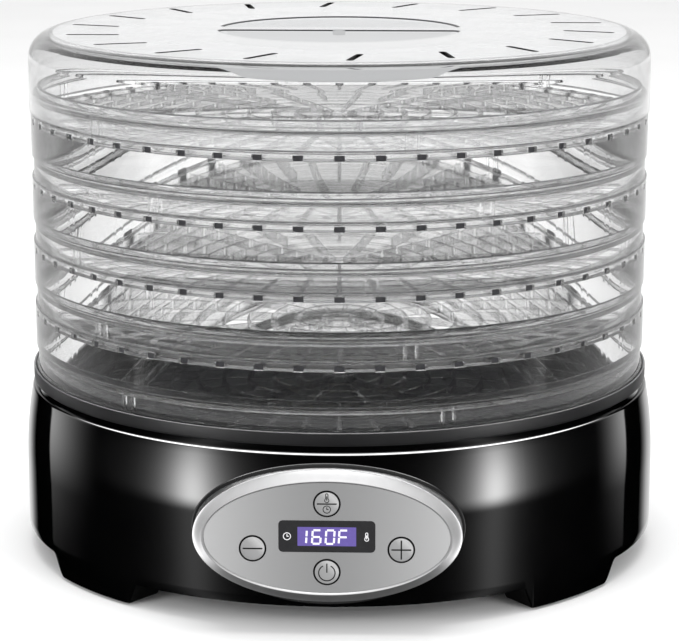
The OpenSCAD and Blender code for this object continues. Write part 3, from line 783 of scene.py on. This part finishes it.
def cut_openings(drum):
    """Cuts the panel opening and the cord inlet out of the drum."""
    bm = bmesh.new()
    # the panel's opening stops below the crease, and points that fall together there are dropped
    panel = [(x, min(z, 65.4 - PANEL_Z)) for x, z in oval(PANEL_A - 8.2, PANEL_B - 8, 96)]
    panel = [p for i, p in enumerate(panel) if i == 0 or math.dist(p, panel[i - 1]) > 0.01]
    for outline, middle_z, ends in ((panel, PANEL_Z, (-175, -120)), (oval(6.6, 6.6, 48), 32, (130, 175))):
        rings = [ring_at(bm, [(x, y, middle_z + z) for x, z in outline]) for y in ends]
        join_rings(bm, *rings)
        cap_ends(bm, rings)
    cutter = add_object("cutter", mesh_from(bm, "cutter"))
    boolean = drum.modifiers.new("openings", "BOOLEAN")
    boolean.operation = "DIFFERENCE"
    boolean.solver = "EXACT"
    boolean.object = cutter
    bpy.context.view_layer.update()
    drum.data = bpy.data.meshes.new_from_object(drum.evaluated_get(bpy.context.evaluated_depsgraph_get()))
    drum.modifiers.clear()
    smooth_shading(drum.data, 38)
    bpy.data.objects.remove(cutter)


def panel_rings(bm, steps):
    """Ovals of the panel, joined round, as (inset from the bezel's edge, y or a function of x and z)."""
    rings = []
    for inset, y in steps:
        outline = [(x, PANEL_Z + z) for x, z in oval(PANEL_A - inset, PANEL_B - inset)]
        rings.append(ring_at(bm, [(x, y(x, z) if callable(y) else y, z) for x, z in outline]))
    join_round(bm, rings)


def off_drum(grow):
    """The height of a ring that follows the drum's surface."""
    return lambda x, z: drum_y(x, z, grow)


def build_collar():
    """The low black collar that the bezel sits in."""
    bm = bmesh.new()
    steps = ((1.5, -1.2), (-1.6, -1.2), (-1.6, 0.45), (-1.4, 0.8), (-1.0, 1.02), (-0.5, 1.05), (1.5, 1.05))
    panel_rings(bm, [(inset, off_drum(grow)) for inset, grow in steps])
    finish_piece(bm, "panel_collar", [GLOSS_BLACK], "base", "gloss_black", sharp=50)


def build_bezel():
    """The silver oval frame: a side wall off the drum, a wide bevel, a crest and a step to the face."""
    bm = bmesh.new()
    steps = [(0, 4.4), (0.08, 4.0), (0.3, 3.7)]
    steps += [(0.3 + 4.0 * t, 3.7 - 3.45 * t ** 0.92) for t in (0.25, 0.5, 0.75, 1.0)]
    steps += [(4.5, 0.06), (4.7, 0), (4.85, 0.06), (5.2, 0.42), (5.45, 0.75), (5.45, 2.4), (7.9, 2.4)]
    steps = [(inset, CREST_Y + back) for inset, back in steps]
    inner_back = (7.9, lambda x, z: min(drum_y(x, z, 1.15), CREST_Y + 5.5))
    panel_rings(bm, [(0, off_drum(1.15))] + steps + [inner_back])
    finish_piece(bm, "bezel_frame", [SILVER_BEZEL], "base", "silver_bezel", ["panel_bezel"], sharp=32)


# ---- buttons, marks and display

def ribbon(bm, points, width, y, thick=0.06, closed=False):
    """A thin raised line on the panel through points of (x, z), with square ends."""
    count = len(points)
    left, right = [], []
    for i, p in enumerate(points):
        before = Vector(points[i - 1]) if i or closed else None
        after = Vector(points[(i + 1) % count]) if i < count - 1 or closed else None
        p = Vector(p)
        ahead = (after - p).normalized() if after is not None else (p - before).normalized()
        back = (p - before).normalized() if before is not None else ahead
        lean = (ahead + back).normalized()
        side = Vector((-lean.y, lean.x)) * (width / 2) / max(lean.dot(ahead), 0.5)
        left.append(p + side)
        right.append(p - side)
    rows = []
    for l, r in zip(left, right):
        rows.append(ring_at(bm, [(l.x, y + 0.02, l.y), (l.x, y - thick, l.y), (r.x, y - thick, r.y),
                                 (r.x, y + 0.02, r.y)]))
    if closed:
        join_round(bm, rows)
    else:
        join_in_turn(bm, rows)
        cap_ends(bm, rows)


def thermometer(bm, cx, cz, size, y, width):
    """A generic thermometer: a tube with a round bulb."""
    r = size * 0.13
    bulb = size * 0.23
    base = cz - size / 2 + bulb
    lean = math.degrees(math.asin(r / bulb))
    outline = arc_points(cx, cz + size / 2 - r, r, 0, 180, 10)
    outline += arc_points(cx, base, bulb, 90 + lean, 450 - lean, 24)
    ribbon(bm, outline, width, y, closed=True)
    ribbon(bm, [(cx, base), (cx, cz + size * 0.2)], width * 1.3, y)


def clock(bm, cx, cz, r, y, width):
    """A generic clock: a ring and two hands."""
    ribbon(bm, arc_points(cx, cz, r, 0, 360, 40)[:-1], width, y, closed=True)
    ribbon(bm, [(cx, cz + r * 0.62), (cx, cz), (cx + r * 0.5, cz)], width, y)


def mark_temp_time(bm, x, z, y):
    ribbon(bm, [(x - 4.5, z), (x + 4.5, z)], 0.6, y)
    thermometer(bm, x, z + 2.8, 4.2, y, 0.34)
    clock(bm, x, z - 2.6, 1.7, y, 0.36)


def mark_power(bm, x, z, y):
    ribbon(bm, arc_points(x, z - 0.35, 3.75, 118, 422, 44), 0.5, y)
    ribbon(bm, [(x, z - 0.2), (x, z + 4.1)], 0.55, y)


def mark_minus(bm, x, z, y):
    ribbon(bm, [(x - 4.5, z), (x + 4.5, z)], 0.65, y)


def mark_plus(bm, x, z, y):
    mark_minus(bm, x, z, y)
    ribbon(bm, [(x, z - 4.5), (x, z + 4.5)], 0.65, y - 0.01)


MARKS = {"temp_time": mark_temp_time, "power": mark_power, "minus": mark_minus, "plus": mark_plus}


def build_buttons():
    for key, mark in MARKS.items():
        name = key + "_button"
        low, high = mm_box(name)
        x, z = middle(low, high, 0), middle(low, high, 2)
        front, back = low[1], high[1]
        bm = bmesh.new()
        cap, rim, shelf = BUTTON_R, BUTTON_R + 1.3, FACE_Y + 2.0
        outline = [(0.02, front), (2.4, front + 0.01), (4.4, front + 0.04), (cap - 0.4, front + 0.08),
                   (cap - 0.14, front + 0.18), (cap, front + 0.45), (cap, shelf), (rim, shelf),
                   (rim, shelf + 1.0), (2.0, shelf + 1.0), (2.0, back), (0.02, back)]
        rings = spin(bm, [(r, -y) for r, y in outline], 72)
        # the cap's edge gets painted shade in black, standing in for the shadow in the gap round it, so that
        # each button has a dark outline
        edge = {v for ring in rings[3:8] for v in ring}
        for face in bm.faces:
            face.material_index = int(edge.issuperset(face.verts))
        upright = Matrix.Translation((x * MM, 0, z * MM)) @ Matrix.Rotation(math.pi / 2, 4, "X")
        bmesh.ops.transform(bm, matrix=upright, verts=bm.verts)
        body = key + "_key"
        finish_piece(bm, name + "_cap", [SILVER_BUTTON, PRINT_AND_SHADE_BLACK], body, "silver_button", [name], sharp=30)
        bm = bmesh.new()
        mark(bm, x, z, front)
        finish_piece(bm, name + "_mark", [PRINT_AND_SHADE_BLACK], body, "silver_button")


SEGMENTS = {"1": "bc", "6": "acdefg", "0": "abcdef", "F": "aefg"}


def digit(bm, char, x, z, w, h, y, width):
    """One seven-segment character with its lower left corner at x, z, leaning a little."""
    m, gap, lean = h / 2, 0.32, 0.06
    lines = {"a": ((gap, h), (w - gap, h)), "b": ((w, h - gap), (w, m + gap)), "c": ((w, m - gap), (w, gap)),
             "d": ((gap, 0), (w - gap, 0)), "e": ((0, m - gap), (0, gap)), "f": ((0, h - gap), (0, m + gap)),
             "g": ((gap, m), (w - gap, m))}
    for s in SEGMENTS[char]:
        ends = [(x + px + lean * pz, z + pz) for px, pz in lines[s]]
        ribbon(bm, ends, width, y, thick=0.05)


def rounded_plate(bm, cx, cz, w, h, r, y0, y1, edge):
    """An upright plate with round corners, of half sizes w and h, with a softened front edge."""
    rings = []
    for grow, y in ((-edge, y0), (-edge * 0.3, y0 + edge * 0.3), (0, y0 + edge), (0, y1)):
        outline = []
        for sx, sz, a in ((1, 1, 0), (-1, 1, 90), (-1, -1, 180), (1, -1, 270)):
            outline += arc_points(cx + sx * (w - r), cz + sz * (h - r), r + grow, a, a + 90, 6)
        rings.append(ring_at(bm, [(x, y, z) for x, z in outline]))
    join_in_turn(bm, rings)
    cap_ends(bm, rings)


def build_display():
    """The smoked pane, and the lit field, digits and signs that show on it."""
    cx, cz = middle(WINDOW_LOW, WINDOW_HIGH, 0), middle(WINDOW_LOW, WINDOW_HIGH, 2)
    front, back = WINDOW_LOW[1], WINDOW_HIGH[1]
    bm = bmesh.new()
    rounded_plate(bm, cx, cz, WINDOW_HIGH[0] - cx, WINDOW_HIGH[2] - cz, 2.0, front, back, 0.15)
    finish_piece(bm, "display_window_pane", [WINDOW_BLACK], "base", "display_black", ["display_window"])
    bm = bmesh.new()
    rounded_plate(bm, cx, cz, 13.4, 4.5, 0.15, front - 0.02, front + 0.02, 0.01)
    finish_piece(bm, "display_field", [DISPLAY_VIOLET], "base", "display_lit")
    bm = bmesh.new()
    for char, place in (("1", -11.2), ("6", -4.7), ("0", 1.5), ("F", 7.5)):
        digit(bm, char, cx + place - 2.1, cz - 3.4, 3.8, 6.4, front - 0.02, 0.9)
    finish_piece(bm, "display_digits", [DIGIT_WHITE], "base", "display_lit")
    bm = bmesh.new()
    clock(bm, cx - 18.2, cz, 1.65, front, 0.36)
    thermometer(bm, cx + 18.2, cz, 3.9, front, 0.34)
    finish_piece(bm, "display_icons", [ICON_WHITE], "base", "display_lit")


# ---- heater

def build_coils():
    """Resistance wire wound into long springs round the mica cross."""
    low, high = mm_box("heating_coils")
    level = Vector((0, 0, middle(low, high, 2)))
    coil_r, wire_r, sides = 1.45, 0.32, 5
    section = [Vector(polar(wire_r, 360 * k / sides)) for k in range(sides)]
    up = Vector((0, 0, 1))
    bm = bmesh.new()
    for radius in (28, 44):
        turns = int(radius * 2.1)
        steps = turns * 10
        rings = []
        for i in range(steps):
            a = 2 * math.pi * i / steps
            w = a * turns
            out = Vector((math.cos(a), math.sin(a), 0))
            centre = level + out * (radius + coil_r * math.cos(w)) + up * coil_r * math.sin(w)
            along = up.cross(out) * radius
            along += (up * math.cos(w) - out * math.sin(w)) * coil_r * turns
            along.normalize()
            side = along.cross(up).normalized()
            rise = side.cross(along)
            rings.append(ring_at(bm, [centre + side * p.x + rise * p.y for p in section]))
        join_round(bm, rings)
    finish_piece(bm, "wound_coils", [HEATER_WIRE], "base", "heater_wire", ["heating_coils"], sharp=60)


# ---- CAD nodes that stay

NODE_MATERIALS = {
    SATIN_BLACK: ("inner_deck", "air_grille", "bottom_cover"),
    RUBBER: ("foot_pads", "cord_gland"),
    SILVER_FACE: ("panel_face",),
    COMPONENT: ("display_module", "button_switches", "temperature_sensor", "power_components"),
    BOARD: ("control_board", "power_board"),
    STEEL: ("cover_screws", "board_screws", "bezel_screws", "bracket_screws", "power_board_screws",
            "motor_shaft", "thermal_fuse"),
    SHEET_STEEL: ("motor_can", "motor_bracket", "heat_shield"),
    BRONZE: ("motor_bearings",),
    IRON: ("motor_rotor",),
    FAN_PLASTIC: ("fan_impeller",),
    MICA: ("mica_frame", "thermostat"),
    WIRE_RED: ("wiring",),
}


def dress_nodes():
    """Gives the CAD nodes that stay in view their materials."""
    for material, names in NODE_MATERIALS.items():
        for name in names:
            obj = nodes[name]
            for slot in obj.material_slots:
                slot.material = material
            if not obj.material_slots:
                obj.data.materials.append(material)


# ---- studio

CAMERA_DISTANCE = 1.263
CAMERA_HEIGHT = 0.394
CAMERA_PITCH = 12.62
CAMERA_AZIMUTH = 2.0
FOCAL_PIXELS = 2514
IMAGE_WIDTH = 679


def build_camera():
    """The camera that was fitted to the photographed object."""
    data = bpy.data.cameras.new("camera")
    data.sensor_width = 36
    data.sensor_fit = "HORIZONTAL"
    data.lens = 36 * FOCAL_PIXELS / IMAGE_WIDTH
    data.clip_start = 0.05
    data.clip_end = 50
    camera = add_object("camera", data)
    a = math.radians(CAMERA_AZIMUTH)
    camera.location = (CAMERA_DISTANCE * math.sin(a), -CAMERA_DISTANCE * math.cos(a), CAMERA_HEIGHT)
    camera.rotation_euler = (math.radians(90 - CAMERA_PITCH), 0, a)
    bpy.context.scene.camera = camera


def floor_material():
    m, tree, shader, _ = new_material("pale_floor")
    grain = noise(tree, object_coords(tree), 6, 2)
    feed(tree, shader, {"Base Color": ramp(tree, grain, [(0.3, grey(0.86)), (0.7, grey(0.88))]),
                        "Roughness": 0.55, "Specular IOR Level": 0.2})
    return m


def build_floor():
    bm = bmesh.new()
    reach = 6000
    corners = ((-reach, -reach, 0), (reach, -reach, 0), (reach, reach, 0), (-reach, reach, 0))
    bm.faces.new(ring_at(bm, corners))
    floor = add_object("floor", mesh_from(bm, "floor", [floor_material()]))
    # the drum mirrors the studio and not the table
    floor.visible_glossy = False


def area_light(name, place, target_z, size, power):
    """A rectangle of light aimed at a height on the upright axis."""
    data = bpy.data.lights.new(name, "AREA")
    data.shape = "RECTANGLE"
    data.size, data.size_y = size
    data.energy = power
    light = add_object(name, data)
    light.location = place
    light.rotation_euler = (Vector((0, 0, target_z)) - Vector(place)).to_track_quat("-Z", "Y").to_euler()
    return light


# softboxes: azimuth from the front, width and brightness
SOFTBOXES = ((-50.5, 12.5, 15.0), (58.0, 11.5, 17.0))
# strips at the sides: azimuths of the sharp edge and of the faded edge
STRIPS = ((-127.5, -91), (128.7, 104))
STRIP_BRIGHT = 2.0
OVERHEAD = 34.0
FRONT = 0.02
SCREEN_R = 12.0
PANEL_PIECES = ("panel_collar", "bezel_frame", "panel_face", "display_window_pane", "button")


def build_world():
    """White all round. Mirror reflections come from the screens instead."""
    world = bpy.context.scene.world = bpy.data.worlds.new("studio")
    world.use_nodes = True
    world.cycles.sampling_method = "NONE"
    tree = world.node_tree
    glossy_ray = tree.nodes.new("ShaderNodeLightPath").outputs["Is Glossy Ray"]
    feed(tree, tree.nodes["Background"], {"Color": (1, 1, 1, 1),
                                          "Strength": calc(tree, "SUBTRACT", 0.97, glossy_ray)})


def receivers(name, objects):
    """A collection of the objects that a light or a screen reaches."""
    group = bpy.data.collections.new(name)
    for obj in objects:
        group.objects.link(obj)
    return group


def screen(name, radius, brightness, group):
    """A wide globe of light round the studio, seen only in the mirror reflections of one group."""
    m, tree, shader, out = new_material(name)
    tree.nodes.remove(shader)
    position = tree.nodes.new("ShaderNodeNewGeometry").outputs["Position"]
    unit = add_node(tree, "VectorMath", {0: position})
    unit.operation = "NORMALIZE"
    x, y, z = axes(tree, unit.outputs["Vector"])
    azimuth = calc(tree, "DEGREES", calc(tree, "ARCTAN2", x, calc(tree, "MULTIPLY", y, -1.0)))
    elevation = calc(tree, "DEGREES", calc(tree, "ARCSINE", z))
    glow = add_node(tree, "Emission", {"Strength": brightness(tree, azimuth, elevation, y)})
    clear = tree.nodes.new("ShaderNodeBsdfTransparent")
    both = add_node(tree, "AddShader", {0: glow.outputs["Emission"], 1: clear.outputs["BSDF"]})
    feed(tree, out, {"Surface": both.outputs["Shader"]})
    m.cycles.emission_sampling = "NONE"
    bm = bmesh.new()
    bmesh.ops.create_icosphere(bm, subdivisions=4, radius=radius)
    obj = add_object(name, mesh_from(bm, name, [m]))
    for kind in ("camera", "diffuse", "transmission", "volume_scatter", "shadow"):
        setattr(obj, "visible_" + kind, False)
    obj.light_linking.receiver_collection = group


def pale_room(tree, azimuth, elevation, y):
    """White behind and dimmer in front."""
    shade = ramp(tree, smooth(tree, y, -1.0, 1.0), [(0.0, grey(0.22)), (0.5, grey(0.55)), (0.9, grey(1))])
    return calc(tree, "MULTIPLY", shade, 0.97)


def panel_room(tree, azimuth, elevation, y):
    """Bright above, dark below and dimmer to the sides, with a lift overhead and far round each side."""
    side = calc(tree, "ABSOLUTE", azimuth)
    level = total(tree, [smooth(tree, elevation, -80.0, -28.0, 0.15, 0.66),
                         smooth(tree, elevation, 5.0, 50.0, 0.0, 0.42),
                         smooth(tree, elevation, 66.0, 78.0, 0.0, 1.2)])
    level = calc(tree, "MULTIPLY", level, smooth(tree, side, 20.0, 70.0, 1.0, 0.6))
    far = [smooth(tree, side, 88.0, 97.0, 0.0, 1.6), smooth(tree, side, 112.0, 125.0, 1.0, 0.2),
           smooth(tree, elevation, -60.0, -40.0), smooth(tree, elevation, 45.0, 15.0)]
    return calc(tree, "ADD", level, total(tree, far, "MULTIPLY"))


def dark_room(tree, azimuth, elevation, y):
    """Two soft boxes, two side strips and an overhead panel round a dark front, and white behind."""
    # below the boxes' lower edge only their weak image in the table is left
    boxes_up = total(tree, [smooth(tree, elevation, -13.0, -8.5, 0.07, 1.0),
                            smooth(tree, elevation, -8.0, 8.0, 1.0, 0.38),
                            smooth(tree, elevation, 12.0, 40.0, 1.0, 0.0),
                            smooth(tree, elevation, -22.0, -17.0, 0.5, 1.0)], "MULTIPLY")
    parts = []
    for centre, width, bright in SOFTBOXES:
        off = calc(tree, "DIVIDE", calc(tree, "SUBTRACT", azimuth, centre), width)
        bell = calc(tree, "POWER", calc(tree, "MULTIPLY_ADD", off, off, 1.0), -2.4)
        parts.append(total(tree, [bell, boxes_up, bright], "MULTIPLY"))
    for edge, faded in STRIPS:
        inside = smooth(tree, azimuth, edge, edge - math.copysign(1.2, edge))
        fade = calc(tree, "POWER", smooth(tree, azimuth, faded, edge), 1.3)
        up = smooth(tree, elevation, -19.0, -6.0)
        parts.append(total(tree, [inside, STRIP_BRIGHT, fade, up], "MULTIPLY"))
    parts.append(calc(tree, "MULTIPLY", smooth(tree, elevation, 30.0, 50.0), OVERHEAD))
    parts.append(smooth(tree, calc(tree, "ABSOLUTE", azimuth), 143.0, 158.0))
    return calc(tree, "ADD", total(tree, parts), FRONT)


def build_screens():
    """One screen for each group of pieces. Returns the pieces that the lights reach."""
    meshes = [o for o in bpy.context.scene.objects if o.type == "MESH"]
    gloss = [o for o in meshes if o.name == "drum_housing"]
    panel = [o for o in meshes if any(piece in o.name for piece in PANEL_PIECES)]
    others = [o for o in meshes if o not in gloss and o not in panel]
    screen("dark_screen", SCREEN_R, dark_room, receivers("gloss_pieces", gloss))
    screen("panel_screen", SCREEN_R + 0.3, panel_room, receivers("panel_pieces", panel))
    screen("pale_screen", SCREEN_R + 0.6, pale_room, receivers("other_pieces", others))
    return receivers("lit_pieces", others + panel)


def build_lights(reached):
    lights = [area_light("key_" + side, (x, -1.35, 0.62), 0.12, (0.55, 0.75), 16)
              for side, x in (("left", -1.25), ("right", 1.25))]
    lights.append(area_light("top", (0, 0.1, 1.9), 0.1, (1.6, 1.2), 26))
    for light in lights:
        light.light_linking.receiver_collection = reached
        light.visible_glossy = False
        light.visible_transmission = False


def build_studio():
    build_floor()
    build_world()
    build_lights(build_screens())
    scene = bpy.context.scene
    scene.view_settings.view_transform = "Standard"
    settings = {"max_bounces": 28, "transmission_bounces": 28, "transparent_max_bounces": 40,
                "glossy_bounces": 6, "diffuse_bounces": 3, "sample_clamp_indirect": 4,
                "caustics_reflective": False, "caustics_refractive": False, "use_denoising": True}
    for name, value in settings.items():
        setattr(scene.cycles, name, value)


# ---- build

build_camera()
build_trays()
build_lid()
build_grip_bead()
build_housing()
build_collar()
build_bezel()
build_buttons()
build_display()
build_coils()
dress_nodes()
build_studio()
